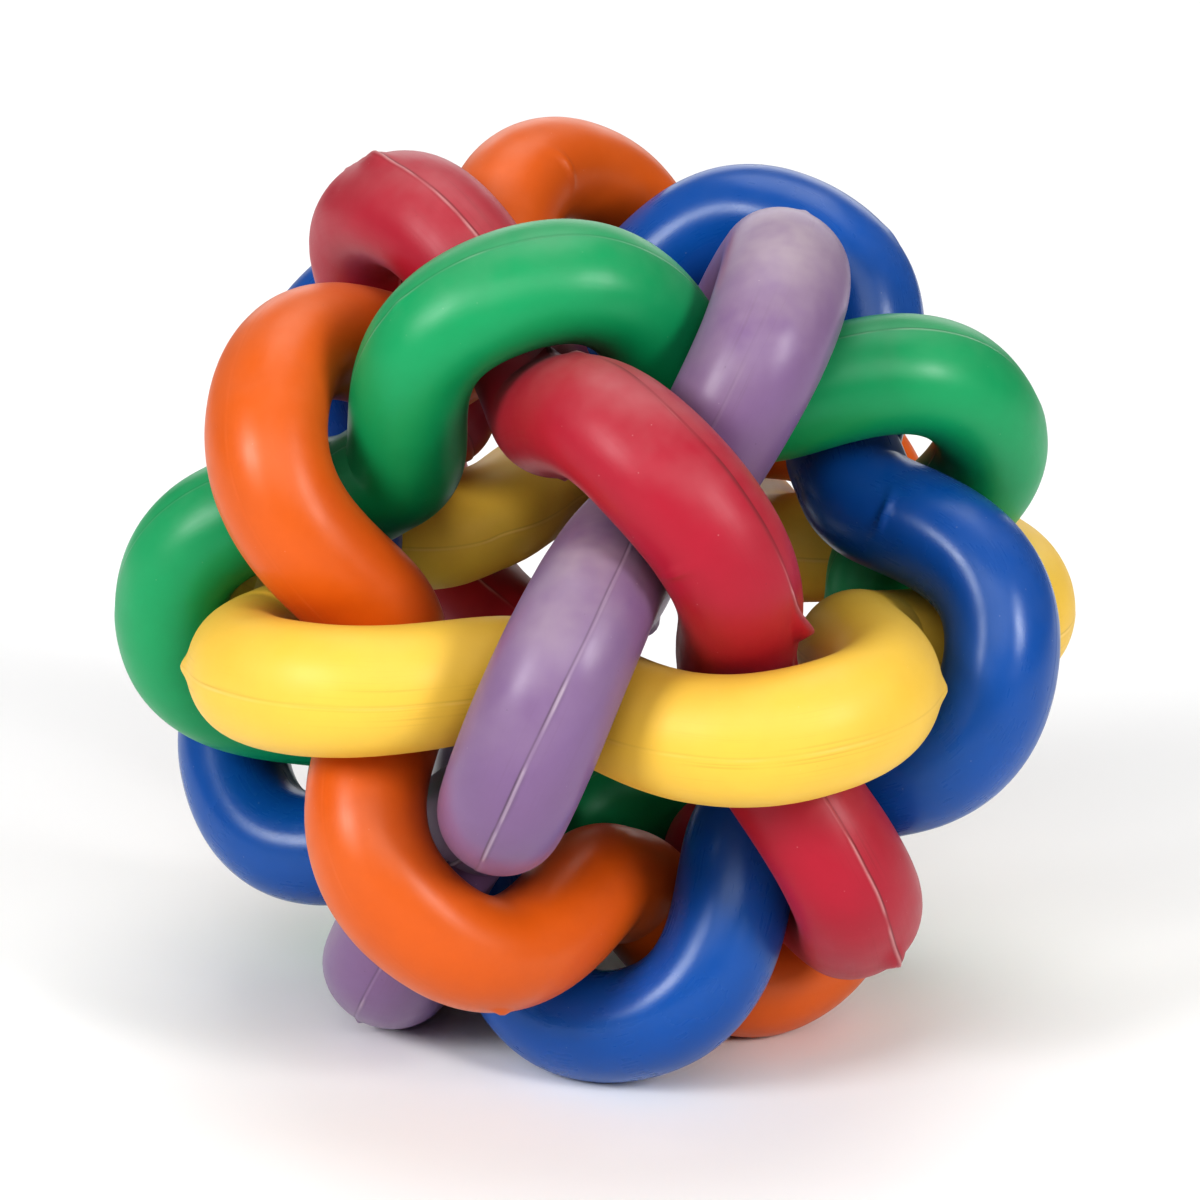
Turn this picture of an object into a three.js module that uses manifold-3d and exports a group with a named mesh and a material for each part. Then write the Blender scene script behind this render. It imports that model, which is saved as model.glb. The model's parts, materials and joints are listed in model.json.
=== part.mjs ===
// Woven loop ball: a hollow ball of six closed rubber loops, one of each colour. Each loop is one round
// strand bent into five lobes. It runs out over a neighbour at every lobe and dips under another between
// two lobes, so the six hold one another together with nothing in the middle.
//
// The loops' axes are the six five-fold axes of an icosahedron. One loop lies level. The other five lean
// on it, evenly spaced, and the ball stands on the lowest lobe of each of them.

import * as THREE from 'three';
import { mergeVertices } from 'three/addons/utils/BufferGeometryUtils.js';
import Module from 'manifold-3d';

const wasm = await Module();
wasm.setup();

// Driving dimensions, in millimetres.
const BALL_DIAMETER = 100;
const STRAND_DIAMETER = 11.8;
const VALLEY_RADIUS = 29.7; // from the ball's centre to the strand's centre line, where it passes under
const FLANK_DRAW = 0.55; // pulls the flanks of a lobe in towards the centre
const LOBE_FULLNESS = 0.62; // rounds out the shoulders of a lobe
const LOBE_SPREAD = 0.048; // leans the flanks apart round the loop, in radians
const FLANK_LEAN = 1.35; // carries the flanks out of the loop's plane, clear of the strands they pass
const FOOT_PRESS = 0.3; // how far the ball's weight flattens each lobe it stands on

const LOBES = 5;
const AXIS_TILT = Math.atan(2); // between two five-fold axes of an icosahedron
const TURN = 2 * Math.PI;

// Fineness of the mesh.
const STEPS_PER_LOBE = 20;
const STRAND_SIDES = 10;

const strandRadius = STRAND_DIAMETER / 2;
const lobeRadius = BALL_DIAMETER / 2 - strandRadius;

// The loops, in their order round the ball. Soft loops never lie quite evenly in the weave, so settled says
// how far single lobes stand off their even places: [out from the centre, along the loop's axis]. Lobes are
// counted round the loop from the one along its own +X.
const LEVEL_LOOP = { name: 'yellow_loop', color: 0xf0cf52, settled: {} };
const LEANING_LOOPS = [
  { name: 'orange_loop', color: 0xf0702c, settled: { 1: [2, 0], 2: [1, 1] } },
  { name: 'crimson_loop', color: 0xb82546, settled: { 1: [1.5, 1], 2: [0, -0.5], 3: [-0.5, 0] } },
  { name: 'green_loop', color: 0x1fa65c, settled: { 1: [0, -0.5], 2: [0, 0.5] } },
  { name: 'purple_loop', color: 0x9480b2, settled: { 1: [-0.5, 0], 2: [0, -0.5] } },
  { name: 'blue_loop', color: 0x2b54a8, settled: { 1: [-1, 0], 2: [1, 0] } },
];

// How much of a lobe's own shift is felt at an angle round the loop: all at its tip, none at the next tips.
function shareOfLobe(lobe, around) {
  const spacing = TURN / LOBES;
  const ahead = THREE.MathUtils.euclideanModulo(around - lobe * spacing, TURN);
  const away = Math.min(ahead, TURN - ahead, spacing);
  return ((1 + Math.cos(Math.PI * away / spacing)) / 2) ** 2;
}

// The centre line of one loop, level and centred, with a lobe along +X.
class LobedLoop extends THREE.Curve {
  constructor(settled = {}) {
    super();
    this.settled = Object.entries(settled);
  }

  getPoint(u, target = new THREE.Vector3()) {
    const around = TURN * u;
    const wave = LOBES * around;
    const middle = (lobeRadius + VALLEY_RADIUS) / 2;
    const reach = (lobeRadius - VALLEY_RADIUS) / 2;
    let radius = middle + reach * Math.cos(wave)
      - FLANK_DRAW * (1 - Math.cos(2 * wave))
      + LOBE_FULLNESS * (Math.cos(wave) - Math.cos(3 * wave));
    let lift = FLANK_LEAN * Math.sin(wave);
    for (const [lobe, [out, aside]] of this.settled) {
      radius += out * shareOfLobe(lobe, around);
      lift += aside * shareOfLobe(lobe, around);
    }
    const angle = around + LOBE_SPREAD * Math.sin(wave);
    return target.set(radius * Math.cos(angle), radius * Math.sin(angle), lift);
  }
}

// A closed mesh as a solid that can be cut.
function toSolid(geometry) {
  const bare = geometry.clone();
  bare.deleteAttribute('normal');
  bare.deleteAttribute('uv');
  const merged = mergeVertices(bare, 1e-4);
  return new wasm.Manifold(new wasm.Mesh({
    numProp: 3,
    vertProperties: Float32Array.from(merged.attributes.position.array),
    triVerts: Uint32Array.from(merged.index.array),
  }));
}

function toGeometry(solid) {
  const mesh = solid.getMesh();
  const geometry = new THREE.BufferGeometry();
  geometry.setAttribute('position', new THREE.BufferAttribute(mesh.vertProperties, 3));
  geometry.setIndex(new THREE.BufferAttribute(mesh.triVerts, 1));
  geometry.computeVertexNormals();
  return geometry;
}

// One loop's strand, level and centred: a tube that closes on itself.
function strand(settled) {
  const centreLine = new LobedLoop(settled);
  return new THREE.TubeGeometry(centreLine, LOBES * STEPS_PER_LOBE, strandRadius, STRAND_SIDES, true);
}

// The ball's centre above the ground, from how far a leaning loop reaches down.
function heightOfCentre() {
  const lean = new THREE.Matrix4().makeRotationX(AXIS_TILT);
  const heights = new LobedLoop().getPoints(720).map((point) => point.applyMatrix4(lean).z);
  return strandRadius - Math.min(...heights) - FOOT_PRESS;
}

const centreHeight = heightOfCentre();

// A leaning loop has its lowest lobe pressed flat where it meets the ground.
function pressedStrand(settled) {
  const groundSize = 2 * BALL_DIAMETER;
  const ground = new THREE.BoxGeometry(groundSize, groundSize, groundSize);
  ground.translate(0, 0, -groundSize / 2);
  const loopToBall = new THREE.Matrix4().makeRotationX(AXIS_TILT).setPosition(0, 0, centreHeight);
  ground.applyMatrix4(loopToBall.invert());
  return toGeometry(toSolid(strand(settled)).subtract(toSolid(ground)));
}

function rubber(color) {
  return new THREE.MeshStandardMaterial({ color, roughness: 0.5, metalness: 0 });
}

const ball = new THREE.Group();
ball.name = 'woven_loop_ball';

// A loop's axis leans away from +Z, and then its own +X turns to an azimuth.
function addLoop({ name, color }, geometry, lean, azimuth) {
  const loop = new THREE.Mesh(geometry, rubber(color));
  loop.name = name;
  loop.rotation.set(lean, 0, azimuth, 'ZXY');
  loop.position.z = centreHeight;
  ball.add(loop);
}

addLoop(LEVEL_LOOP, strand(LEVEL_LOOP.settled), 0, 0);
LEANING_LOOPS.forEach((loop, index) => {
  const azimuth = TURN * (index + 0.5) / LEANING_LOOPS.length;
  addLoop(loop, pressedStrand(loop.settled), AXIS_TILT, azimuth);
});

export default ball;
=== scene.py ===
"""Woven loop ball: six closed loops of moulded rubber, woven over and under one another into a hollow ball.

Each loop is one strand bent into five lobes. It comes out of a two-part mould, so it carries a thin seam of
flash along its outer and inner side, and a nub of flash near the tips of some of its lobes.
"""

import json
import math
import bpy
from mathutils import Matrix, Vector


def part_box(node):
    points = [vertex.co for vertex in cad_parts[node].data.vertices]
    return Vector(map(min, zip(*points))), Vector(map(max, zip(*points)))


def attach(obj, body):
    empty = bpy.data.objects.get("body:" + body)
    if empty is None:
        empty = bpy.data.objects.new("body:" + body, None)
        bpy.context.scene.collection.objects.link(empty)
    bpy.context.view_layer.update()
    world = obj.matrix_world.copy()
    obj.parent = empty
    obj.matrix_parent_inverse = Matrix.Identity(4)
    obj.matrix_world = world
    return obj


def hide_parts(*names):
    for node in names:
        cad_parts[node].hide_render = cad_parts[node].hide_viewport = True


bl_info = {
    "name": "Woven Loop Ball",
    "version": (1, 0, 0),
    "blender": (4, 5, 0),
    "location": "3D View > Sidebar > Loop Ball",
    "description": "Makes the rubber loops of a woven ball and a stage to show it on",
    "category": "Add Mesh",
}

import bpy
from mathutils import Matrix, Vector

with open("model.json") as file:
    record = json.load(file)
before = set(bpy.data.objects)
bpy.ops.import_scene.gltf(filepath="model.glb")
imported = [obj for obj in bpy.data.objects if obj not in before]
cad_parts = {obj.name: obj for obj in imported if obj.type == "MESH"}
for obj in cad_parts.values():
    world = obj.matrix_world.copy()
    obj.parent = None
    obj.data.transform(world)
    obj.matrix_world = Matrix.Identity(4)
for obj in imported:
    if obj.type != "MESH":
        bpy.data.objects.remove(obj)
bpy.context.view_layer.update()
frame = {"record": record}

TURN = 2 * math.pi
MM = 0.001
LOBES = 5
LEVEL_LOOP = "yellow"
LEANING_LOOPS = ("orange", "crimson", "green", "purple", "blue")


# ------------------------------------------------------------------ what the frame says

def centre_height():
    """How high the ball's centre is: the middle of the level loop."""
    low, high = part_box(LEVEL_LOOP + "_loop")
    return (low.z + high.z) / 2


def ball_radius():
    """From the centre to the tip of the level loop's lobe along +X."""
    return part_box(LEVEL_LOOP + "_loop")[1].x


def loop_pose(name):
    """How far a loop's axis leans from +Z, and the azimuth of its own +X."""
    for joint in frame["record"]["behaviour"]["joints"]:
        if joint["child"] == name:
            axis = Vector(joint["axis"]).normalized()
            return math.acos(axis.z), math.atan2(axis.y, axis.x) + TURN / 4
    return 0.0, 0.0


# ------------------------------------------------------------------ settings

def distance(name, description, default):
    """A length that a user can change."""
    return bpy.props.FloatProperty(
        name=name, description=description, default=default, unit="LENGTH", subtype="DISTANCE", precision=5,
    )


def colour(name, description, default):
    """A colour that a user can change."""
    return bpy.props.FloatVectorProperty(
        name=name, description=description, default=default, size=3, min=0, max=1, subtype="COLOR",
    )


def from_screen(red, green, blue):
    """A colour given as 0 to 255 on screen, as linear light."""
    def linear(value):
        value /= 255
        return value / 12.92 if value <= 0.04045 else ((value + 0.055) / 1.055) ** 2.4
    return tuple(linear(value) for value in (red, green, blue))


class LoopShape(bpy.types.PropertyGroup):
    """The size of a loop and of its strand."""

    strand_radius: distance("Strand Radius", "Half the strand's thickness", 5.9 * MM)
    valley_radius: distance("Valley Radius", "Centre of the ball to the strand where it dips", 29.7 * MM)
    flank_draw: distance("Flank Draw", "Pulls the flanks of a lobe in", 0.55 * MM)
    lobe_fullness: distance("Lobe Fullness", "Rounds out the shoulders of a lobe", 0.62 * MM)
    flank_lean: distance("Flank Lean", "Carries the flanks out of the loop's plane", 1.35 * MM)
    lobe_spread: bpy.props.FloatProperty(
        name="Lobe Spread", description="Leans the flanks apart round the loop",
        default=0.048, unit="ROTATION", subtype="ANGLE",
    )
    bend_widening: bpy.props.FloatProperty(
        name="Bend Widening", description="How much wider the strand gets across as it bends round a lobe",
        default=0.11, min=0, max=0.3, subtype="FACTOR",
    )
    steps: bpy.props.IntProperty(
        name="Steps", description="Mesh steps round a loop", default=900, min=50,
    )
    sides: bpy.props.IntProperty(
        name="Sides", description="Mesh sides round the strand", default=92, min=12,
    )


class MouldMarks(bpy.types.PropertyGroup):
    """What the mould leaves on the rubber."""

    seam_height: distance("Seam Height", "How far the flash of the parting seam stands up", 0.16 * MM)
    seam_width: distance("Seam Width", "Half the width of the flash", 0.14 * MM)
    seam_step: distance("Seam Step", "How far the two mould halves are out of line", 0.07 * MM)
    nub_height: distance("Nub Height", "The tallest nub of flash near the tip of a lobe", 1.3 * MM)
    nub_size: distance("Nub Size", "Half the length of a nub", 1.1 * MM)
    flap_height: distance("Flap Height", "A flap of flash that was not trimmed off", 1.3 * MM)
    lip_height: distance("Lip Height", "The flash left inside the bend of a lobe", 0.6 * MM)
    joint_height: distance("Joint Height", "The mark where the strand's ends were joined", 0.42 * MM)
    joint_reach: distance("Joint Reach", "From the outer seam to the middle of that mark", 9.9 * MM)
    unevenness: distance("Unevenness", "Slow waves in the rubber's surface", 0.14 * MM)


class RubberFinish(bpy.types.PropertyGroup):
    """The colours of the rubber and how worn it looks."""

    yellow: colour("Yellow", "Rubber of the yellow loop", from_screen(234, 192, 72))
    orange: colour("Orange", "Rubber of the orange loop", from_screen(209, 93, 15))
    crimson: colour("Crimson", "Rubber of the crimson loop", from_screen(168, 16, 46))
    green: colour("Green", "Rubber of the green loop", from_screen(5, 151, 92))
    purple: colour("Purple", "Rubber of the purple loop", from_screen(125, 97, 138))
    blue: colour("Blue", "Rubber of the blue loop", from_screen(6, 78, 156))
    # the bloom's colour: a chalky film, which also paints the light from above on faces that point up
    bloom: colour("Bloom", "The chalky film on handled rubber", from_screen(196, 184, 178))
    speck: colour("Speck", "Dust and filler that shows at the surface", from_screen(236, 226, 220))


class StageLook(bpy.types.PropertyGroup):
    """The floor, the lights and the camera."""

    floor: colour("Floor", "Colour of the floor", (0.93, 0.93, 0.93))
    floor_radius: distance("Floor Radius", "Size of the round floor", 1.0)
    room_seen: bpy.props.FloatProperty(
        name="Room Seen", description="How bright the room looks beyond the floor", default=0.95, min=0,
    )
    room_light: bpy.props.FloatProperty(
        name="Room Light", description="How much light the room itself gives", default=0.10, min=0,
    )
    light_distance: distance("Light Distance", "From the softboxes to the ball's centre", 2.5)
    camera_distance: distance("Camera Distance", "From the camera to the ball's centre", 0.49)
    camera_azimuth: bpy.props.FloatProperty(
        name="Camera Azimuth", description="Which side of the ball the camera sees",
        default=math.radians(-10.45), subtype="ANGLE", unit="ROTATION",
    )
    camera_elevation: bpy.props.FloatProperty(
        name="Camera Elevation", description="How far the camera looks down",
        default=math.radians(17.23), subtype="ANGLE", unit="ROTATION",
    )
    camera_roll: bpy.props.FloatProperty(
        name="Camera Roll", description="How far the camera leans over",
        default=math.radians(2.25), subtype="ANGLE", unit="ROTATION",
    )
    lens: bpy.props.FloatProperty(
        name="Lens", description="Focal length", default=143.0, unit="CAMERA", subtype="DISTANCE_CAMERA",
    )


# ------------------------------------------------------------------ how the loops differ

# Soft loops never lie quite evenly in the weave: how far single lobes stand off their even places, out
# from the centre and along the loop's axis, in millimetres.
SETTLED_LOBES = {
    "orange": {1: (2, 0), 2: (1, 1)},
    "crimson": {1: (1.5, 1), 2: (0, -0.5), 3: (-0.5, 0)},
    "green": {1: (0, -0.5), 2: (0, 0.5)},
    "purple": {1: (-0.5, 0), 2: (0, -0.5)},
    "blue": {1: (-1, 0), 2: (1, 0)},
}

# What is left of the seam on lobes 0 to 4 of each loop: how much of the flash, how far the strand has
# rolled and where the nub sits from the lobe's tip, both in degrees, and how much of the nub.
SEAM_LEFT = {
    "yellow": (
        (0.6, 0, 4, 0.3), (0.6, 0, -6, 0.4), (0.5, 0, 5, 0.2),
        (0.5, 0, -10, 0.45), (0.4, 0, 13, 0.4),
    ),
    "orange": (
        (0.4, 0, 3, 0.1), (0.1, 0, -5, 0.0), (0.3, 8, 8, 0.0),
        (0.2, 5, 9, 0.4), (0.4, 0, 2, 0.1),
    ),
    "crimson": (
        (0.8, 0, -5, 0.6), (1.3, 2, 3.0, 0.55), (2.0, 32, -24, 0.8),
        (1.2, 0, 2, 0.7), (0.8, 0, 6, 0.5),
    ),
    "green": (
        (0.8, 0, 5, 0.0), (0.8, 0, -8, 0.1), (0.9, 0, 4, 0.0),
        (0.7, 0, -3, 0.1), (0.8, 0, 6, 0.1),
    ),
    "purple": (
        (1.5, -7, -20, 0.4), (0.0, 10, 8, 0.12), (0.6, 0, 4, 0.3),
        (0.6, 0, -6, 0.2), (0.8, 0, 0, 0.3),
    ),
    "blue": (
        (0.3, 0, 3, 0.0), (0.2, 0, -6, 0.1), (0.4, 0, 5, 0.1),
        (0.3, 0, -4, 0.0), (0.2, 0, 7, 0.0),
    ),
}

# Where the ends of each strand were joined, in degrees round the loop.
JOINT_PLACES = {
    "yellow": 200, "orange": 80.5, "crimson": 150, "green": 320, "purple": 200, "blue": 20,
}

# The flaps of flash that were not trimmed off: their height beside the usual one, and where they stand,
# in degrees round the loop.
LEFT_FLAPS = {"crimson": (1.6, 160)}
NO_FLAP = (0, 0)

# How each loop has come out of the mould and worn, and how strongly the painted light shows on it: the
# bloom's painted top light and the seam's painted highlight and shadow.
FINISHES = {
    "yellow": dict(
        roughness=0.48, sheen=0.02, mottle=0.22, bloom=0.1, seam=0.55, specks=0.25,
        scratches=0.4, grain=0.004, lines=0.003, flash=0.15, nub_width=1.25, lip=0.3,
    ),
    "orange": dict(
        roughness=0.38, sheen=0.02, mottle=0.35, bloom=0.1, seam=0.2, specks=0.25,
        scratches=0.1, grain=0.004, lines=0.002, flash=0.15, nub_width=0.6, lip=0.3,
    ),
    "crimson": dict(
        roughness=0.42, sheen=0.04, mottle=0.45, bloom=0.2, seam=0.85, specks=0.5,
        scratches=0.45, grain=0.006, lines=0.004, flash=1.0, nub_width=1.6, lip=1.0,
    ),
    "green": dict(
        roughness=0.38, sheen=0.0, mottle=0.3, bloom=0.14, seam=0.6, specks=0.25,
        scratches=0.15, grain=0.004, lines=0.003, flash=0.35, nub_width=0.8, lip=0.2,
    ),
    "purple": dict(
        roughness=0.34, sheen=0.04, mottle=0.3, bloom=0.55, seam=0.9, specks=0.6,
        scratches=0.25, grain=0.004, lines=0.003, flash=1.0, nub_width=0.7, lip=0.2,
    ),
    "blue": dict(
        roughness=0.29, sheen=0.0, mottle=0.3, bloom=0.1, seam=0.35, specks=0.4,
        scratches=0.0, grain=0.007, lines=0.0, flash=0.25, nub_width=0.8, lip=0.2,
    ),
}


# ------------------------------------------------------------------ formulas made of nodes

def plug(tree, value, socket):
    """Puts a number, a colour, another node's socket or a formula into a socket."""
    if isinstance(value, Formula):
        value = value.socket
    if isinstance(value, bpy.types.NodeSocket):
        tree.links.new(value, socket)
    else:
        socket.default_value = value


def add_node(tree, kind, inputs=None, **settings):
    """A node with its settings and inputs. An input is named, or numbered where names repeat."""
    node = tree.nodes.new(kind)
    for name, value in settings.items():
        setattr(node, name, value)
    for name, value in (inputs or {}).items():
        plug(tree, value, node.inputs[name])
    return node


class Formula:
    """A socket that takes part in sums, so that a tree reads as a formula."""

    def __init__(self, tree, socket):
        self.tree = tree
        self.socket = socket

    def math(self, operation, *others):
        """This value and the others through one Math node."""
        inputs = dict(enumerate((self, *others)))
        node = add_node(self.tree, "ShaderNodeMath", inputs, operation=operation)
        return Formula(self.tree, node.outputs[0])

    def __add__(self, other):
        return self.math("ADD", other)

    def __sub__(self, other):
        return self.math("SUBTRACT", other)

    def __rsub__(self, other):
        return self * -1 + other

    def __mul__(self, other):
        return self.math("MULTIPLY", other)

    def __truediv__(self, other):
        return self.math("DIVIDE", other)

    def __rtruediv__(self, other):
        return self.math("POWER", -1) * other

    __radd__ = __add__
    __rmul__ = __mul__


def cosine(angle):
    return angle.math("COSINE")


def sine(angle):
    return angle.math("SINE")


def hump(offset, width):
    """1 where the offset is 0, falling smoothly to nothing a few widths away."""
    ratio = offset / width
    return (ratio * ratio * -1).math("EXPONENT")


def clamped(value, low, high):
    return value.math("MAXIMUM", low).math("MINIMUM", high)


def joined(tree, x, y, z):
    """A vector of three numbers or formulas."""
    return add_node(tree, "ShaderNodeCombineXYZ", {"X": x, "Y": y, "Z": z}).outputs[0]


def scaled(tree, vector, factor):
    """A vector times a factor."""
    node = add_node(tree, "ShaderNodeVectorMath", {0: vector, "Scale": factor}, operation="SCALE")
    return node.outputs[0]


def noise(tree, place, size, detail=1.0, roughness=0.5):
    """Smooth noise from 0 to 1 whose patches are about size across, in the place's own unit."""
    node = add_node(tree, "ShaderNodeTexNoise", {
        "Vector": place, "Scale": 1 / size, "Detail": detail, "Roughness": roughness,
    })
    return Formula(tree, node.outputs[0])


def in_millimetres(tree, vector, seed):
    """A place in millimetres, moved along by the seed, so that no two loops are marked alike."""
    moved = joined(tree, seed * 37, seed * 53, seed * 71)
    return add_node(tree, "ShaderNodeVectorMath", {
        0: scaled(tree, vector, 1000.0), 1: moved,
    }, operation="ADD").outputs[0]


# ------------------------------------------------------------------ the strand, as Geometry Nodes

STRAND_INPUTS = (
    ("Lobe Radius", "DISTANCE"), ("Valley Radius", "DISTANCE"), ("Flank Draw", "DISTANCE"),
    ("Lobe Fullness", "DISTANCE"), ("Flank Lean", "DISTANCE"), ("Lobe Spread", "ANGLE"),
    ("Strand Radius", "DISTANCE"), ("Centre Height", "DISTANCE"), ("Axis Tilt", "ANGLE"),
    ("Azimuth", "ANGLE"), ("Seam Height", "DISTANCE"), ("Seam Width", "DISTANCE"),
    ("Seam Step", "DISTANCE"), ("Nub Height", "DISTANCE"), ("Nub Size", "DISTANCE"),
    ("Lip Height", "DISTANCE"), ("Joint Height", "DISTANCE"), ("Joint Place", "ANGLE"),
    ("Joint Reach", "DISTANCE"), ("Flap Height", "DISTANCE"), ("Flap Place", "ANGLE"),
    ("Unevenness", "DISTANCE"), ("Bend Widening", "FACTOR"),
)
LOBE_INPUTS = (
    ("Out", "DISTANCE"), ("Aside", "DISTANCE"), ("Flash", "FACTOR"), ("Seam Turn", "ANGLE"),
    ("Nub Place", "ANGLE"), ("Nub Left", "FACTOR"),
)
# How closely the sides round the strand crowd to its seams: 0 spaces them evenly.
SEAM_CROWDING = 0.78
# The strand's length once round the loop, in millimetres.
STRAND_RUN = 280
# Patches of uneven rubber, across, in millimetres: the seam's wandering, the flash that is left, its ragged
# edge, and the slow and the quick waves of the surface.
DRIFT_PATCH, FLASH_PATCH, RAG_PATCH, SLOW_PATCH, QUICK_PATCH = 16.0, 6.0, 0.9, 11.0, 2.6
# How far the seam wanders round the strand, in radians, and the quick waves' share of the unevenness.
SEAM_DRIFT = 0.12
QUICK_SHARE = 0.16
# Half widths of the small marks: the step where it turns over and where it fades out, the lip and the flap
# along and across the strand, and the joint's line with its bow and its half length.
STEP_TURN, STEP_FADE = 0.12 * MM, 2.5 * MM
LIP_LENGTH, LIP_WIDTH = 2.4 * MM, 0.5 * MM
FLAP_LENGTH, FLAP_WIDTH = 1.6 * MM, 0.4 * MM
JOINT_WIDTH, JOINT_BOW, JOINT_LENGTH = 0.35 * MM, 0.9 * MM, 3.5 * MM
# A nub's width beside its length, and how far the lip follows the nub's place off the lobe's tip.
NUB_WIDTH_SHARE = 0.6
LIP_FOLLOWS = 0.3
# How far the strand draws in across the bend for each part that it widens.
WIDENING_DRAW = -0.4


def share_of_lobe(around, lobe):
    """How much of a lobe's own value is felt at an angle round the loop. The five shares add up to 1."""
    spacing = TURN / LOBES
    away = (around - lobe * spacing).math("WRAP", math.pi, -math.pi).math("ABSOLUTE")
    return (cosine(away.math("MINIMUM", spacing) * (math.pi / spacing)) + 1) * 0.5


def of_lobes(around, values, narrow=1):
    """One value for each lobe, blended round the loop."""
    return sum(
        value * share_of_lobe(around, lobe).math("POWER", narrow) for lobe, value in enumerate(values)
    )


def strand_tree():
    """A closed lobed strand with its seams, nubs and marks, turned to its place in the ball."""
    tree = bpy.data.node_groups.new("Lobed rubber strand", "GeometryNodeTree")
    face = tree.interface
    face.new_socket("Geometry", in_out="INPUT", socket_type="NodeSocketGeometry")
    face.new_socket("Geometry", in_out="OUTPUT", socket_type="NodeSocketGeometry")
    for name, subtype in STRAND_INPUTS:
        face.new_socket(name, in_out="INPUT", socket_type="NodeSocketFloat").subtype = subtype
    for lobe in range(LOBES):
        for name, subtype in LOBE_INPUTS:
            socket = face.new_socket(f"Lobe {lobe} {name}", in_out="INPUT", socket_type="NodeSocketFloat")
            socket.subtype = subtype
    for name in ("Steps", "Sides", "Seed"):
        face.new_socket(name, in_out="INPUT", socket_type="NodeSocketInt")
    face.new_socket("Rubber", in_out="INPUT", socket_type="NodeSocketMaterial")

    given = tree.nodes.new("NodeGroupInput")

    def size(name):
        return Formula(tree, given.outputs[name])

    def each_lobe(name):
        return [size(f"Lobe {lobe} {name}") for lobe in range(LOBES)]

    index = Formula(tree, tree.nodes.new("GeometryNodeInputIndex").outputs[0])
    position = tree.nodes.new("GeometryNodeInputPosition").outputs[0]
    normal = tree.nodes.new("GeometryNodeInputNormal").outputs[0]

    # the centre line, level and centred, with a lobe along +X
    around = index / size("Steps") * TURN
    wave = around * LOBES
    middle = (size("Lobe Radius") + size("Valley Radius")) * 0.5
    reach = (size("Lobe Radius") - size("Valley Radius")) * 0.5
    radius = (
        middle + reach * cosine(wave)
        - size("Flank Draw") * (1 - cosine(wave * 2))
        + size("Lobe Fullness") * (cosine(wave) - cosine(wave * 3))
        + of_lobes(around, each_lobe("Out"), narrow=2)
    )
    lift = size("Flank Lean") * sine(wave) + of_lobes(around, each_lobe("Aside"), narrow=2)
    angle = around + size("Lobe Spread") * sine(wave)
    circle = add_node(tree, "GeometryNodeCurvePrimitiveCircle", {"Resolution": size("Steps")})
    kept_around = add_node(tree, "GeometryNodeCaptureAttribute")
    for name in ("around", "angle", "lift"):
        kept_around.capture_items.new("FLOAT", name)
    plug(tree, circle.outputs["Curve"], kept_around.inputs["Geometry"])
    for name, value in (("around", around), ("angle", angle), ("lift", lift)):
        plug(tree, value, kept_around.inputs[name])
    centre_line = add_node(tree, "GeometryNodeSetPosition", {
        "Geometry": kept_around.outputs["Geometry"],
        "Position": joined(tree, radius * cosine(angle), radius * sine(angle), lift),
    })
    level = add_node(tree, "GeometryNodeSetCurveNormal", {"Curve": centre_line.outputs[0]}, mode="Z_UP")

    # the strand's section, with its sides crowded to the two seams
    even = index / size("Sides") * TURN
    round_angle = even - sine(even * 2) * (SEAM_CROWDING / 2)
    ring = add_node(tree, "GeometryNodeCurvePrimitiveCircle", {"Resolution": size("Sides")})
    kept_side = add_node(tree, "GeometryNodeCaptureAttribute")
    kept_side.capture_items.new("FLOAT", "side")
    plug(tree, ring.outputs["Curve"], kept_side.inputs["Geometry"])
    plug(tree, round_angle, kept_side.inputs["side"])
    strand_radius = size("Strand Radius")
    section = add_node(tree, "GeometryNodeSetPosition", {
        "Geometry": kept_side.outputs["Geometry"],
        "Position": joined(
            tree, strand_radius * cosine(round_angle), strand_radius * sine(round_angle), 0.0,
        ),
    })
    tube = add_node(tree, "GeometryNodeCurveToMesh", {
        "Curve": level.outputs[0], "Profile Curve": section.outputs[0],
    })

    # where a point of the surface lies: round the loop, and round the strand from its outer seam
    around = Formula(tree, kept_around.outputs["around"])
    spacing = TURN / LOBES
    seed = size("Seed")
    in_mm = in_millimetres(tree, position, seed)
    wander = (noise(tree, in_mm, DRIFT_PATCH) - 0.5) * SEAM_DRIFT
    drift = wander + of_lobes(around, each_lobe("Seam Turn"))
    round_side = Formula(tree, kept_side.outputs["side"])
    side = (round_side + drift).math("WRAP", math.pi, -math.pi)
    from_outer = strand_radius * side.math("ABSOLUTE")
    from_inner = strand_radius * (math.pi - side.math("ABSOLUTE"))
    from_seam = from_outer.math("MINIMUM", from_inner)
    surface_reach = (size("Lobe Radius") + strand_radius) * (size("Lobe Spread") * LOBES + 1)

    def run_from(place):
        """The way along the strand from an angle round the loop."""
        return (around - place).math("WRAP", math.pi, -math.pi) * surface_reach

    # the flash and the step of the parting seam
    flash_left = of_lobes(around, each_lobe("Flash"))
    patchy = clamped(noise(tree, in_mm, FLASH_PATCH) * 4.5 - 1.7, 0.15, 1.2) * flash_left
    ragged = noise(tree, in_mm, RAG_PATCH) * 1.2 + 0.4
    flash = size("Seam Height") * patchy * ragged * hump(from_seam, size("Seam Width"))
    step_side = clamped(sine(side) * strand_radius / STEP_TURN, -1, 1)
    step_fade = (from_seam / -STEP_FADE).math("EXPONENT")
    step = size("Seam Step") * step_side * step_fade * clamped(flash_left, 0, 1) * 0.5

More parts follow.
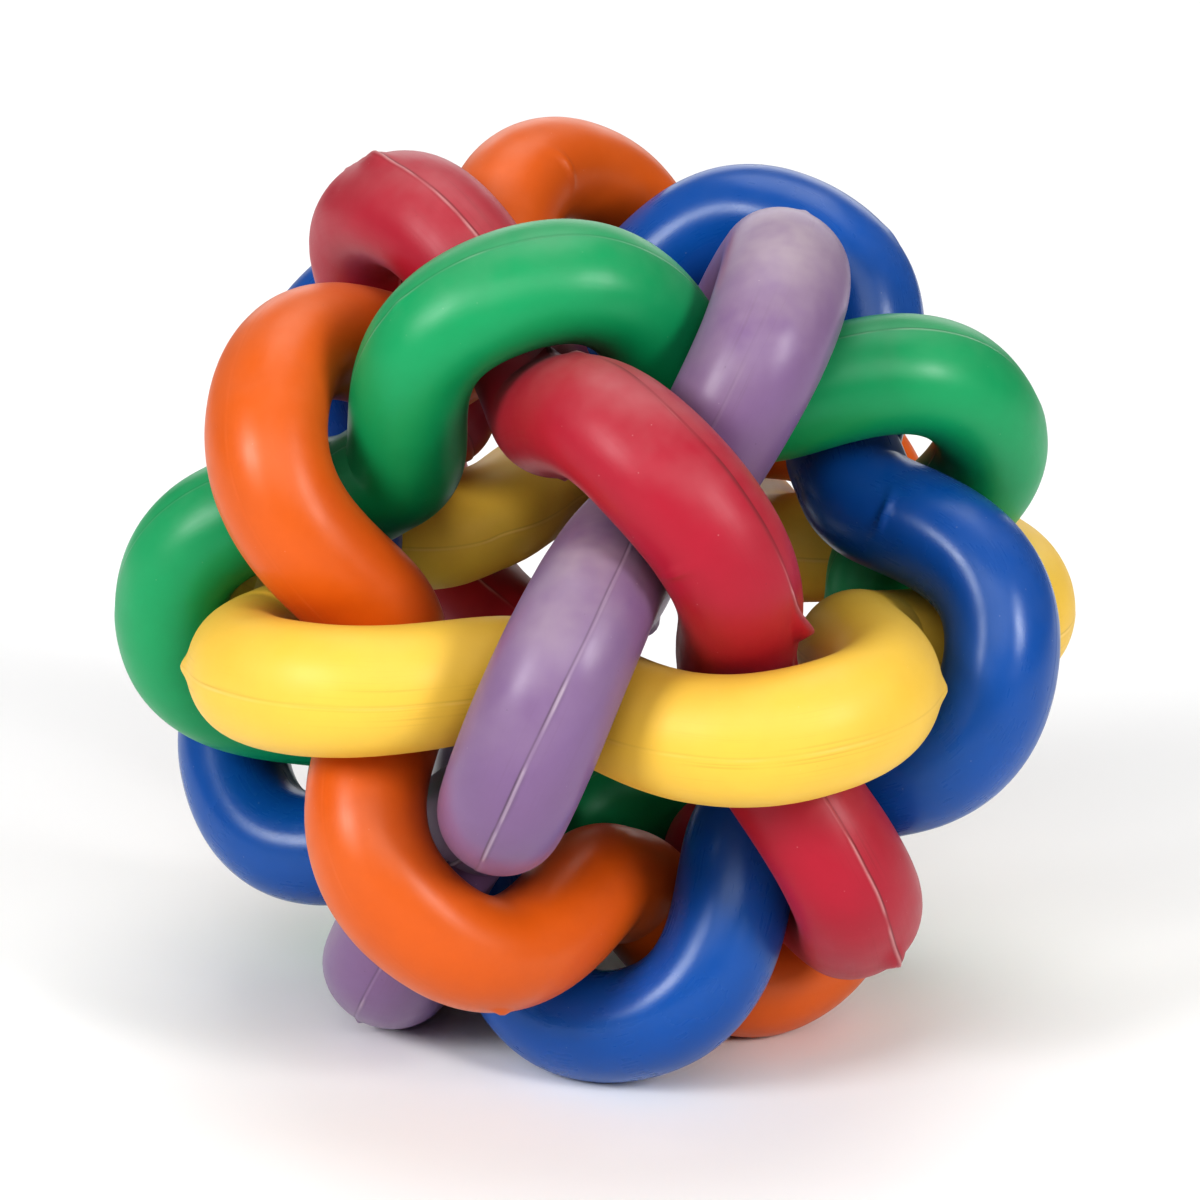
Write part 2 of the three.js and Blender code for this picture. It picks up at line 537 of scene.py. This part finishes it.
    # a nub on each lobe's outer seam, a lip of flash inside its bend, a flap of flash, and the mark where
    # the strand was joined
    nub, lip = 0, 0
    for lobe, (place, left) in enumerate(zip(each_lobe("Nub Place"), each_lobe("Nub Left"))):
        nub = nub + hump(run_from(place + lobe * spacing), size("Nub Size")) * left
        lip = lip + hump(run_from(place * LIP_FOLLOWS + lobe * spacing), LIP_LENGTH)
    nub = nub * size("Nub Height") * hump(from_outer, size("Nub Size") * NUB_WIDTH_SHARE)
    lip = lip * size("Lip Height") * hump(from_inner, LIP_WIDTH)
    flap = size("Flap Height") * hump(run_from(size("Flap Place")), FLAP_LENGTH)
    flap = flap * hump(from_outer, FLAP_WIDTH)
    bow = (from_outer - size("Joint Reach")) / JOINT_LENGTH
    joint_line = hump(run_from(size("Joint Place")) - bow * bow * JOINT_BOW, JOINT_WIDTH)
    joint = size("Joint Height") * joint_line * hump(bow, 0.6)

    # slow unevenness, and the widening of the strand where it bends round a lobe
    slow = noise(tree, in_mm, SLOW_PATCH) - 0.5
    quick = noise(tree, in_mm, QUICK_PATCH) - 0.5
    waves = size("Unevenness") * (slow + quick * QUICK_SHARE)
    bend = ((cosine(around * LOBES) + 1) * 0.5).math("POWER", 2)
    widening = size("Bend Widening") * bend
    parts = add_node(tree, "ShaderNodeSeparateXYZ", {0: position})
    level_z = Formula(tree, parts.outputs["Z"]) - Formula(tree, kept_around.outputs["lift"])
    angle = Formula(tree, kept_around.outputs["angle"])
    inward = strand_radius * cosine(round_side) * widening * WIDENING_DRAW
    widened = joined(tree, inward * cosine(angle), inward * sine(angle), level_z * widening)
    raised = scaled(tree, normal, flash + step + nub + lip + flap + joint + waves)
    offset = add_node(tree, "ShaderNodeVectorMath", {0: widened, 1: raised}, operation="ADD")
    marked = add_node(tree, "GeometryNodeSetPosition", {
        "Geometry": tube.outputs[0], "Offset": offset.outputs[0],
    })
    nearest = (around / spacing).math("ROUND").math("FLOORED_MODULO", LOBES)
    from_tip = run_from(nearest * spacing)

    # where it lies, for the rubber's own marks and for its painted light: distances in millimetres, and a
    # flow that closes on itself
    across, along = strand_radius * 1000, STRAND_RUN / TURN
    flow = joined(tree, across * cosine(side), across * sine(side), cosine(around) * along)
    surface = marked.outputs[0]
    for name, value, kind in (
        ("from_seam", from_seam * 1000, "FLOAT"),
        ("from_outer_seam", from_outer * 1000, "FLOAT"),
        ("from_tip", from_tip.math("ABSOLUTE") * 1000, "FLOAT"),
        ("seam_flash", patchy, "FLOAT"),
        ("seam_left", clamped(flash_left, 0, 1), "FLOAT"),
        # the low side of the seam's step, where the painted shadow of the seam's foot is darkest
        ("low_side", 0.5 - step_side * 0.5, "FLOAT"),
        ("flow", flow, "FLOAT_VECTOR"),
        ("flow_turn", sine(around) * along, "FLOAT"),
    ):
        stored = add_node(tree, "GeometryNodeStoreNamedAttribute", {
            "Geometry": surface, "Name": name,
        }, data_type=kind, domain="POINT")
        plug(tree, value, stored.inputs["Value"])
        surface = stored.outputs[0]

    # turned to its place, and flat where it stands on the floor
    placed = add_node(tree, "GeometryNodeTransform", {
        "Geometry": surface,
        "Translation": joined(tree, 0.0, 0.0, size("Centre Height")),
        "Rotation": joined(tree, size("Axis Tilt"), 0.0, size("Azimuth")),
    })
    parts = add_node(tree, "ShaderNodeSeparateXYZ", {0: position})
    above = Formula(tree, parts.outputs["Z"]).math("MAXIMUM", 0.0)
    standing = add_node(tree, "GeometryNodeSetPosition", {
        "Geometry": placed.outputs[0],
        "Position": joined(tree, parts.outputs["X"], parts.outputs["Y"], above),
    })
    smooth = add_node(tree, "GeometryNodeSetShadeSmooth", {"Geometry": standing.outputs[0]})
    real = add_node(tree, "GeometryNodeRealizeInstances", {"Geometry": smooth.outputs[0]})
    coloured = add_node(tree, "GeometryNodeSetMaterial", {
        "Geometry": real.outputs[0], "Material": size("Rubber"),
    })
    add_node(tree, "NodeGroupOutput", {"Geometry": coloured.outputs[0]})
    return tree


def run_tree(name, tree, values):
    """The plain mesh object that a tree makes with these input values."""
    piece = bpy.data.objects.new(name, bpy.data.meshes.new(name))
    bpy.context.scene.collection.objects.link(piece)
    modifier = piece.modifiers.new("Shape", "NODES")
    modifier.node_group = tree
    for item in tree.interface.items_tree:
        if item.in_out == "INPUT" and item.name in values:
            modifier[item.identifier] = values[item.name]
    evaluated = piece.evaluated_get(bpy.context.evaluated_depsgraph_get())
    mesh = bpy.data.meshes.new_from_object(evaluated)
    piece.modifiers.remove(modifier)
    piece.data = mesh
    mesh.name = name
    return piece


# ------------------------------------------------------------------ rubber

def shader_group(name, inputs, outputs):
    """An empty group with its sockets. Returns the tree, its inputs as formulas and its output node."""
    tree = bpy.data.node_groups.new(name, "ShaderNodeTree")
    for socket_name, kind, default in inputs:
        socket = tree.interface.new_socket(socket_name, in_out="INPUT", socket_type="NodeSocket" + kind)
        socket.default_value = default
    for socket_name, kind in outputs:
        tree.interface.new_socket(socket_name, in_out="OUTPUT", socket_type="NodeSocket" + kind)
    node = tree.nodes.new("NodeGroupInput")
    given = {socket_name: Formula(tree, node.outputs[socket_name]) for socket_name, *_ in inputs}
    return tree, given, tree.nodes.new("NodeGroupOutput")


def attribute(tree, name):
    """A value that the strand's tree stored on the mesh."""
    return Formula(tree, add_node(tree, "ShaderNodeAttribute", attribute_name=name).outputs["Fac"])


def mixed(tree, factor, first, second):
    """Two colours mixed by a factor."""
    node = add_node(tree, "ShaderNodeMix", {0: factor, 6: first, 7: second}, data_type="RGBA")
    return node.outputs[2]


def place_on(tree, seed):
    """The place on the piece, in millimetres, moved along by the seed."""
    return in_millimetres(tree, tree.nodes.new("ShaderNodeTexCoord").outputs["Object"], seed)


def streaks(tree, across, along, seed, detail=1.0):
    """Noise drawn out along the strand: its width and its length, in millimetres."""
    flow = add_node(tree, "ShaderNodeAttribute", attribute_name="flow").outputs["Vector"]
    parts = add_node(tree, "ShaderNodeSeparateXYZ", {0: flow})
    x, y, z = (Formula(tree, parts.outputs[axis]) for axis in "XYZ")
    node = add_node(tree, "ShaderNodeTexNoise", {
        "Vector": joined(tree, x / across, y / across, z / along),
        "W": attribute(tree, "flow_turn") / along + seed * 7, "Scale": 1.0, "Detail": detail,
    }, noise_dimensions="4D")
    return Formula(tree, node.outputs[0])


def mottle_group():
    """Uneven pigment: slow patches of a deeper tone, with a fine cloud in them."""
    tree, given, made = shader_group(
        "Rubber mottle",
        (("Color", "Color", (1, 1, 1, 1)), ("Deep Color", "Color", (0, 0, 0, 1)), ("Amount", "Float", 0.3),
         ("Patch Size", "Float", 14.0), ("Seed", "Float", 0.0)),
        (("Color", "Color"),),
    )
    place = place_on(tree, given["Seed"])
    wide = noise(tree, place, given["Patch Size"], detail=2.0)
    fine = noise(tree, place, 1.8, detail=3.0, roughness=0.65)
    mask = clamped(wide * 2.0 + fine * 0.8 - 0.95, 0, 1) * given["Amount"]
    plug(tree, mixed(tree, mask, given["Color"], given["Deep Color"]), made.inputs["Color"])
    return tree


def bloom_and_top_light_group():
    """Partly the chalky film that rubber sweats out, partly painted light from above: paler on faces that
    point up, and on the tips of the lobes.
    """
    tree, given, made = shader_group(
        "Chalky bloom and top light",
        (("Color", "Color", (1, 1, 1, 1)), ("Bloom and Top Light Color", "Color", (1, 1, 1, 1)), ("Amount", "Float", 0.3),
         ("Patch Size", "Float", 9.0), ("Seed", "Float", 0.0)),
        (("Color", "Color"), ("Mask", "Float")),
    )
    normal = tree.nodes.new("ShaderNodeNewGeometry").outputs["Normal"]
    up = Formula(tree, add_node(tree, "ShaderNodeSeparateXYZ", {0: normal}).outputs["Z"])
    near_tip = (attribute(tree, "from_tip") / -9).math("EXPONENT")
    near_outer = (attribute(tree, "from_outer_seam") / -6).math("EXPONENT")
    cloud = noise(tree, place_on(tree, given["Seed"] + 3), given["Patch Size"], detail=3.0, roughness=0.6)
    outward = clamped(1.6 - attribute(tree, "from_outer_seam") / 7, 0, 1)
    # painted top light: faces that point up get more of the pale film, as if lit from above; the lobes'
    # tips by the outer seam get some too
    exposed_and_top_lit = clamped((up * 0.9 - 0.1) * outward + near_tip * near_outer * 0.2 + 0.05, 0, 1)
    mask = clamped(exposed_and_top_lit * clamped(cloud * 2.4 - 0.55, 0, 1.4), 0, 1) * given["Amount"]
    plug(tree, mixed(tree, mask, given["Color"], given["Bloom and Top Light Color"]), made.inputs["Color"])
    plug(tree, mask, made.inputs["Mask"])
    return tree


def seam_group():
    """The parting seam's tones: a pale crest along the flash, partly stretched flash and partly a painted
    highlight, and a painted shadow at its foot on the step's low side.
    """
    tree, given, made = shader_group(
        "Parting seam",
        (("Color", "Color", (1, 1, 1, 1)), ("Crest Highlight Color", "Color", (1, 1, 1, 1)),
         ("Foot Shadow Color", "Color", (0, 0, 0, 1)), ("Amount", "Float", 0.6), ("Width", "Float", 0.2)),
        (("Color", "Color"), ("Mask", "Float")),
    )
    from_seam = attribute(tree, "from_seam")
    flash = clamped(attribute(tree, "seam_flash"), 0, 1)
    # the crest: a painted highlight along the seam's ridge, pale like stretched flash
    crest_highlight = hump(from_seam, given["Width"]) * flash * given["Amount"] * 0.6
    # the foot: a painted shadow just beside the seam, darkest on the step's low side
    beside = hump(from_seam - given["Width"] * 1.6, given["Width"] * 0.7)
    low = attribute(tree, "low_side") * 0.85 + 0.15
    foot_shadow = beside * low * (flash * 0.5 + attribute(tree, "seam_left") * 0.4) * given["Amount"]
    foot_shaded = mixed(tree, clamped(foot_shadow, 0, 1), given["Color"], given["Foot Shadow Color"])
    plug(tree, mixed(tree, clamped(crest_highlight, 0, 1), foot_shaded, given["Crest Highlight Color"]), made.inputs["Color"])
    plug(tree, clamped(crest_highlight + foot_shadow, 0, 1), made.inputs["Mask"])
    return tree


# A speck's radius as a share of the specks' spacing, and the draws from 0 to 1 above which it is pale and
# below which it is dark. Between them there is none.
SPECK_SHARE = 0.07
PALE_ABOVE = 0.66
DARK_BELOW = 0.16


def speck_group():
    """Specks of pale filler and dark dust, and the small pits that they leave."""
    tree, given, made = shader_group(
        "Specks and pits",
        (("Color", "Color", (1, 1, 1, 1)), ("Pale Color", "Color", (1, 1, 1, 1)),
         ("Dark Color", "Color", (0, 0, 0, 1)), ("Amount", "Float", 0.5), ("Spacing", "Float", 1.6),
         ("Seed", "Float", 0.0)),
        (("Color", "Color"), ("Pits", "Float")),
    )
    cells = add_node(tree, "ShaderNodeTexVoronoi", {
        "Vector": place_on(tree, given["Seed"]), "Scale": 1 / given["Spacing"],
    })
    spot = 1 - clamped(Formula(tree, cells.outputs["Distance"]) / SPECK_SHARE, 0, 1)
    draw = Formula(tree, add_node(tree, "ShaderNodeSeparateColor", {0: cells.outputs["Color"]}).outputs[0])
    pale = spot * draw.math("GREATER_THAN", PALE_ABOVE) * given["Amount"]
    dark = spot * draw.math("LESS_THAN", DARK_BELOW) * given["Amount"]
    paled = mixed(tree, clamped(pale, 0, 1), given["Color"], given["Pale Color"])
    plug(tree, mixed(tree, clamped(dark, 0, 1), paled, given["Dark Color"]), made.inputs["Color"])
    plug(tree, dark, made.inputs["Pits"])
    return tree


def scratch_group():
    """Fine parallel scratches beside the seam, where the flash was trimmed and the loop has rubbed."""
    tree, given, made = shader_group(
        "Trim scratches",
        (("Color", "Color", (1, 1, 1, 1)), ("Scratch Color", "Color", (0, 0, 0, 1)),
         ("Amount", "Float", 0.5), ("Reach", "Float", 3.0), ("Seed", "Float", 0.0)),
        (("Color", "Color"), ("Depth", "Float")),
    )
    lines = clamped(streaks(tree, 0.22, 14.0, given["Seed"]) * 7 - 3.9, 0, 1)
    where = clamped(noise(tree, place_on(tree, given["Seed"] + 7), 12.0) * 4 - 1.9, 0, 1)
    beside = hump(attribute(tree, "from_outer_seam"), given["Reach"])
    depth = lines * where * beside * given["Amount"]
    plug(tree, mixed(tree, depth, given["Color"], given["Scratch Color"]), made.inputs["Color"])
    plug(tree, depth, made.inputs["Depth"])
    return tree


def grain_group():
    """The satin skin: a fine grain, faint drawn lines along the strand and slow ripples. Height in mm."""
    tree, given, made = shader_group(
        "Satin skin",
        (("Grain", "Float", 0.004), ("Drawn Lines", "Float", 0.004), ("Ripples", "Float", 0.05),
         ("Seed", "Float", 0.0)),
        (("Height", "Float"), ("Polish", "Float")),
    )
    place = place_on(tree, given["Seed"])
    grain = noise(tree, place, 0.32, detail=2.0, roughness=0.6) - 0.5
    lines = streaks(tree, 0.3, 9.0, given["Seed"] + 1) - 0.5
    ripples = noise(tree, place, 4.5) - 0.5
    height = grain * given["Grain"] + lines * given["Drawn Lines"] + ripples * given["Ripples"]
    polish = noise(tree, place, 5.0, detail=2.0, roughness=0.6) - 0.5
    plug(tree, height, made.inputs["Height"])
    plug(tree, polish + lines * 0.3, made.inputs["Polish"])
    return tree


GROUPS = {
    "Rubber mottle": mottle_group, "Chalky bloom and top light": bloom_and_top_light_group, "Parting seam": seam_group,
    "Specks and pits": speck_group, "Trim scratches": scratch_group, "Satin skin": grain_group,
}


def effect(tree, name, inputs):
    """One of the shared effects, placed in a material with its own values."""
    group = bpy.data.node_groups.get(name) or GROUPS[name]()
    node = add_node(tree, "ShaderNodeGroup", node_tree=group)
    for socket_name, value in inputs.items():
        plug(tree, value, node.inputs[socket_name])
    return node.outputs


def shade(tint, factor, warmth=0.0):
    """A darker or lighter tone of a colour. Warmth moves it towards red."""
    red, green, blue = (channel * factor for channel in tint)
    return (min(red * (1 + warmth), 1), min(green, 1), min(blue * (1 - warmth), 1), 1)


def blended(first, second, share):
    """Two colours mixed by a share of the second."""
    return tuple(a + (b - a) * share for a, b in zip(first[:3], second[:3])) + (1,)


# The marks that all the loops share, in millimetres.
RIPPLE_HEIGHT = 0.03
MOTTLE_PATCH = 13.0
BLOOM_PATCH = 8.0
SCRATCH_REACH = 3.2
SCRATCH_DEPTH = 0.02
SPECK_SPACING = 1.5
PIT_DEPTH = 0.03


def make_rubber(name, tint, finish, marks, seed):
    """Satin moulded rubber with its mottle, bloom with painted top light, seam with painted highlight and
    shadow, specks, scratches and grain.
    """
    worn = FINISHES[name]
    material = bpy.data.materials.new(name + " rubber")
    material.use_nodes = True
    tree = material.node_tree
    shader = tree.nodes["Principled BSDF"]
    skin = effect(tree, "Satin skin", {
        "Grain": worn["grain"], "Drawn Lines": worn["lines"], "Ripples": RIPPLE_HEIGHT, "Seed": seed,
    })
    mottle = effect(tree, "Rubber mottle", {
        "Color": (*tint, 1), "Deep Color": shade(tint, 0.66, 0.12), "Amount": worn["mottle"],
        "Patch Size": MOTTLE_PATCH, "Seed": seed,
    })
    scratches = effect(tree, "Trim scratches", {
        "Color": mottle["Color"], "Scratch Color": shade(tint, 0.45, 0.2), "Amount": worn["scratches"],
        "Reach": SCRATCH_REACH, "Seed": seed,
    })
    specks = effect(tree, "Specks and pits", {
        "Color": scratches["Color"], "Pale Color": blended(tint, finish.speck, 0.45),
        "Dark Color": shade(tint, 0.4), "Amount": worn["specks"], "Spacing": SPECK_SPACING,
        "Seed": seed,
    })
    # the bloom: a pale chalky film, also painted light from above on faces that point up
    bloom = effect(tree, "Chalky bloom and top light", {
        "Color": specks["Color"], "Bloom and Top Light Color": blended(tint, finish.bloom, 0.8), "Amount": worn["bloom"],
        "Patch Size": BLOOM_PATCH, "Seed": seed,
    })
    # the seam's pale crest is partly a painted highlight, and its dark foot a painted shadow
    seam = effect(tree, "Parting seam", {
        "Color": bloom["Color"], "Crest Highlight Color": blended(tint, finish.speck, 0.5),
        "Foot Shadow Color": shade(tint, 0.3, 0.1), "Amount": worn["seam"], "Width": marks.seam_width / MM,
    })
    plug(tree, seam["Color"], shader.inputs["Base Color"])
    rough = (
        Formula(tree, skin["Polish"]) * 0.22 + Formula(tree, bloom["Mask"]) * 0.25
        + Formula(tree, seam["Mask"]) * 0.10 + worn["roughness"]
    )
    plug(tree, clamped(rough, 0.2, 0.9), shader.inputs["Roughness"])
    height = (
        Formula(tree, skin["Height"]) + Formula(tree, scratches["Depth"]) * -SCRATCH_DEPTH
        + Formula(tree, specks["Pits"]) * -PIT_DEPTH
    )
    bump = add_node(tree, "ShaderNodeBump", {"Strength": 1.0, "Distance": MM, "Height": height})
    plug(tree, bump.outputs[0], shader.inputs["Normal"])
    shader.inputs["IOR"].default_value = 1.5
    shader.inputs["Specular IOR Level"].default_value = 0.38
    shader.inputs["Sheen Weight"].default_value = worn["sheen"]
    shader.inputs["Sheen Roughness"].default_value = 0.45
    return material


# ------------------------------------------------------------------ operators

def loop_values(name, rubber, seed):
    """The strand tree's inputs for one loop."""
    shape = bpy.context.scene.loop_ball_shape
    marks = bpy.context.scene.loop_ball_marks
    worn = FINISHES[name]
    flap_left, flap_place = LEFT_FLAPS.get(name, NO_FLAP)
    tilt, azimuth = loop_pose(name)
    values = {
        "Lobe Radius": ball_radius() - shape.strand_radius,
        "Valley Radius": shape.valley_radius,
        "Flank Draw": shape.flank_draw,
        "Lobe Fullness": shape.lobe_fullness,
        "Flank Lean": shape.flank_lean,
        "Lobe Spread": shape.lobe_spread,
        "Strand Radius": shape.strand_radius,
        "Centre Height": centre_height(),
        "Axis Tilt": tilt,
        "Azimuth": azimuth,
        "Seam Height": marks.seam_height * worn["flash"],
        "Seam Width": marks.seam_width,
        "Seam Step": marks.seam_step,
        "Nub Height": marks.nub_height,
        "Nub Size": marks.nub_size * worn["nub_width"],
        "Lip Height": marks.lip_height * worn["lip"],
        "Flap Height": marks.flap_height * flap_left,
        "Flap Place": math.radians(flap_place),
        "Joint Height": marks.joint_height,
        "Joint Reach": marks.joint_reach,
        "Joint Place": math.radians(JOINT_PLACES[name]),
        "Unevenness": marks.unevenness,
        "Bend Widening": shape.bend_widening,
        "Steps": shape.steps,
        "Sides": shape.sides,
        "Seed": seed,
        "Rubber": rubber,
    }
    for lobe, (out, aside) in SETTLED_LOBES.get(name, {}).items():
        values[f"Lobe {lobe} Out"] = out * MM
        values[f"Lobe {lobe} Aside"] = aside * MM
    for lobe, (flash, turn, nub, nub_left) in enumerate(SEAM_LEFT[name]):
        values[f"Lobe {lobe} Flash"] = flash
        values[f"Lobe {lobe} Seam Turn"] = math.radians(turn)
        values[f"Lobe {lobe} Nub Place"] = math.radians(nub)
        values[f"Lobe {lobe} Nub Left"] = nub_left
    return values


class LOOPBALL_OT_add_loop(bpy.types.Operator):
    """Make one rubber loop with its rubber and put it in its place in the weave"""

    bl_idname = "loop_ball.add_loop"
    bl_label = "Add Loop"

    loop: bpy.props.EnumProperty(
        name="Loop", description="Which loop to make",
        items=[(name, name.title(), f"The {name} loop") for name in (LEVEL_LOOP, *LEANING_LOOPS)],
    )

    def execute(self, context):
        name = self.loop
        finish = context.scene.loop_ball_finish
        marks = context.scene.loop_ball_marks
        tree = bpy.data.node_groups.get("Lobed rubber strand") or strand_tree()
        seed = 1 + (LEVEL_LOOP, *LEANING_LOOPS).index(name)
        rubber = make_rubber(name, tuple(getattr(finish, name)), finish, marks, seed)
        piece = run_tree(name + "_rubber_loop", tree, loop_values(name, rubber, seed))
        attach(piece, name)
        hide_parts(name + "_loop")
        return {"FINISHED"}


# The softboxes: which side of the camera and how high they stand, in degrees, how wide and how tall they
# are, in metres, and their power in watts.
SOFTBOXES = (
    ("Left softbox", -50, 27, 0.9, 0.8, 36),
    ("Right softbox", 48, 27, 0.6, 0.8, 28),
    ("Front fill", 0, 38, 2.0, 1.2, 19),
    ("Top softbox", 180, 75, 1.8, 1.8, 22),
    ("Back fill", 180, 18, 2.4, 1.2, 14),
)
FLOOR_SIDES = 64


def add_softbox(name, place, target, width, height, power):
    """An area light that faces its target."""
    lamp = bpy.data.lights.new(name, "AREA")
    lamp.shape = "RECTANGLE"
    lamp.size, lamp.size_y = width, height
    lamp.energy = power
    light = bpy.data.objects.new(name, lamp)
    bpy.context.scene.collection.objects.link(light)
    light.location = place
    light.rotation_euler = (Vector(target) - Vector(place)).to_track_quat("-Z", "Y").to_euler()


class LOOPBALL_OT_add_stage(bpy.types.Operator):
    """Put a pale floor, soft lights and the camera round the ball"""

    bl_idname = "loop_ball.add_stage"
    bl_label = "Add Stage"

    def execute(self, context):
        look = context.scene.loop_ball_stage
        centre = Vector((0, 0, centre_height()))
        self.add_floor(look)
        self.add_lights(look, centre)
        self.add_camera(context, look, centre)
        return {"FINISHED"}

    def add_floor(self, look):
        """A round matt floor under the ball."""
        mesh = bpy.data.meshes.new("floor")
        angles = [TURN * k / FLOOR_SIDES for k in range(FLOOR_SIDES)]
        radius = look.floor_radius
        ring = [(radius * math.cos(angle), radius * math.sin(angle), 0) for angle in angles]
        mesh.from_pydata(ring, [], [tuple(range(FLOOR_SIDES))])
        floor = bpy.data.objects.new("floor", mesh)
        bpy.context.scene.collection.objects.link(floor)
        material = bpy.data.materials.new("Matt floor")
        material.use_nodes = True
        shader = material.node_tree.nodes["Principled BSDF"]
        shader.inputs["Base Color"].default_value = (*look.floor, 1)
        shader.inputs["Roughness"].default_value = 0.9
        mesh.materials.append(material)

    def add_lights(self, look, centre):
        """A pale room, and softboxes all at one distance from the ball."""
        world = bpy.data.worlds.new("Pale room")
        world.use_nodes = True
        room = world.node_tree
        seen = Formula(room, room.nodes.new("ShaderNodeLightPath").outputs["Is Camera Ray"])
        plug(room, seen * (look.room_seen - look.room_light) + look.room_light,
             room.nodes["Background"].inputs["Strength"])
        room.nodes["Background"].inputs["Color"].default_value = (1, 1, 1, 1)
        bpy.context.scene.world = world
        for name, side, height, width, tall, power in SOFTBOXES:
            bearing = look.camera_azimuth - TURN / 4 + math.radians(side)
            rise = math.radians(height)
            level = math.cos(rise)
            way = Vector((math.cos(bearing) * level, math.sin(bearing) * level, math.sin(rise)))
            add_softbox(name, centre + way * look.light_distance, centre, width, tall, power)

    def add_camera(self, context, look, centre):
        """A camera that looks at the ball's centre."""
        lens = bpy.data.cameras.new("Camera")
        lens.lens = look.lens
        lens.sensor_width = 36
        lens.clip_start = 0.01
        camera = bpy.data.objects.new("Camera", lens)
        context.scene.collection.objects.link(camera)
        turn = (
            Matrix.Rotation(look.camera_azimuth, 4, "Z")
            @ Matrix.Rotation(TURN / 4 - look.camera_elevation, 4, "X")
            @ Matrix.Rotation(look.camera_roll, 4, "Z")
        )
        back = Matrix.Translation((0, 0, look.camera_distance))
        camera.matrix_world = Matrix.Translation(centre) @ turn @ back
        context.scene.camera = camera


class LOOPBALL_PT_panel(bpy.types.Panel):
    """Lists what the add-on makes, with its sizes and colours"""

    bl_idname = "LOOPBALL_PT_panel"
    bl_label = "Loop Ball"
    bl_space_type = "VIEW_3D"
    bl_region_type = "UI"
    bl_category = "Loop Ball"

    def draw(self, context):
        layout = self.layout
        layout.operator_menu_enum(LOOPBALL_OT_add_loop.bl_idname, "loop")
        layout.operator(LOOPBALL_OT_add_stage.bl_idname)
        for title, group in SETTINGS.items():
            box = layout.box()
            box.label(text=title.replace("_", " ").title())
            values = getattr(context.scene, title)
            for name in group.__annotations__:
                box.prop(values, name)


SETTINGS = {
    "loop_ball_shape": LoopShape,
    "loop_ball_marks": MouldMarks,
    "loop_ball_finish": RubberFinish,
    "loop_ball_stage": StageLook,
}
CLASSES = (*SETTINGS.values(), LOOPBALL_OT_add_loop, LOOPBALL_OT_add_stage, LOOPBALL_PT_panel)


def register():
    for cls in CLASSES:
        bpy.utils.register_class(cls)
    for name, group in SETTINGS.items():
        setattr(bpy.types.Scene, name, bpy.props.PointerProperty(type=group))


def unregister():
    for name in SETTINGS:
        delattr(bpy.types.Scene, name)
    for cls in reversed(CLASSES):
        bpy.utils.unregister_class(cls)


def main():
    register()
    bpy.context.scene.view_settings.view_transform = "Standard"
    bpy.context.scene.view_settings.look = "Medium High Contrast"
    for name in (LEVEL_LOOP, *LEANING_LOOPS):
        bpy.ops.loop_ball.add_loop(loop=name)
    bpy.ops.loop_ball.add_stage()


if __name__ == "__main__":
    main()
